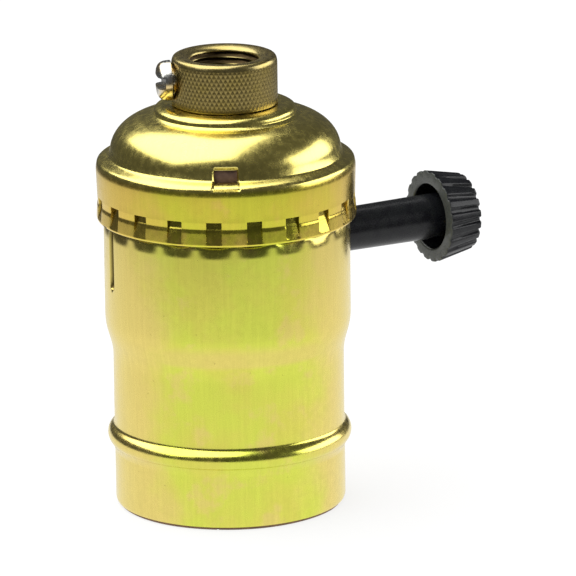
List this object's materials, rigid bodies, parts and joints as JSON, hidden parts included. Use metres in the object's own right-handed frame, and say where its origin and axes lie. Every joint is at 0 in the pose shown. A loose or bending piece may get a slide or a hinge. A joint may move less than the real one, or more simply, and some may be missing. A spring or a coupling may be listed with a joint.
{
  "type": "turn knob lamp socket",
  "caption": "Brass-plated lamp socket with a rotary switch turned by a ribbed knob, a knurled entry collar with a set screw and a rolled-thread screw shell.",
  "frame": {"origin": "centre of the flat pad of the centre contact, where the lamp's tip touches, on the socket's axis", "axes": "+Z along the socket's axis towards the bushing, +X along the knob's axis towards the knob"},
  "size_m": [0.0565, 0.0364, 0.0645],
  "materials": {
    "plated_brass": "bright plated, with yellow and pink passivation bands",
    "turned_brass": "satin turned and knurled",
    "zinc_plate": "zinc plated",
    "steel": "plain",
    "copper_alloy": "bright strip",
    "aluminium": "rolled sheet",
    "liner_board": "matt brown board",
    "fibre": "matt vulcanised fibre",
    "brown_moulding": "moulded",
    "black_plastic": "moulded, fine satin"
  },
  "bodies": {
    "socket": {"cap": "plated_brass", "outer_shell": "plated_brass", "bushing": "turned_brass", "shell_liner": "liner_board", "cap_liner": "fibre", "screw_shell": "aluminium", "lower_body": "brown_moulding", "upper_body": "brown_moulding", "centre_contact": "copper_alloy", "hot_terminal": "copper_alloy", "neutral_terminal": "aluminium", "hot_terminal_screw": "turned_brass", "neutral_terminal_screw": "steel", "body_rivet_front": "aluminium", "body_rivet_back": "aluminium", "detent_spring": "steel"},
    "switch": {"knob": "black_plastic", "drive_shaft": "steel", "switch_rotor": "fibre", "bridge_contact": "copper_alloy"},
    "locking_screw": {"set_screw": "zinc_plate"}
  },
  "joints": [
    {"name": "knob_turn", "type": "hinge", "parent": "socket", "child": "switch", "pos_m": [0, 0, 0.0105], "axis": [1, 0, 0], "continuous": true, "deforming": ["detent_spring"]},
    {"name": "set_screw_turn", "type": "hinge", "parent": "socket", "child": "locking_screw", "pos_m": [0, 0, 0.03505], "axis": [-0.9336, 0.3584, 0], "range_deg": [-630, 90]}
  ]
}
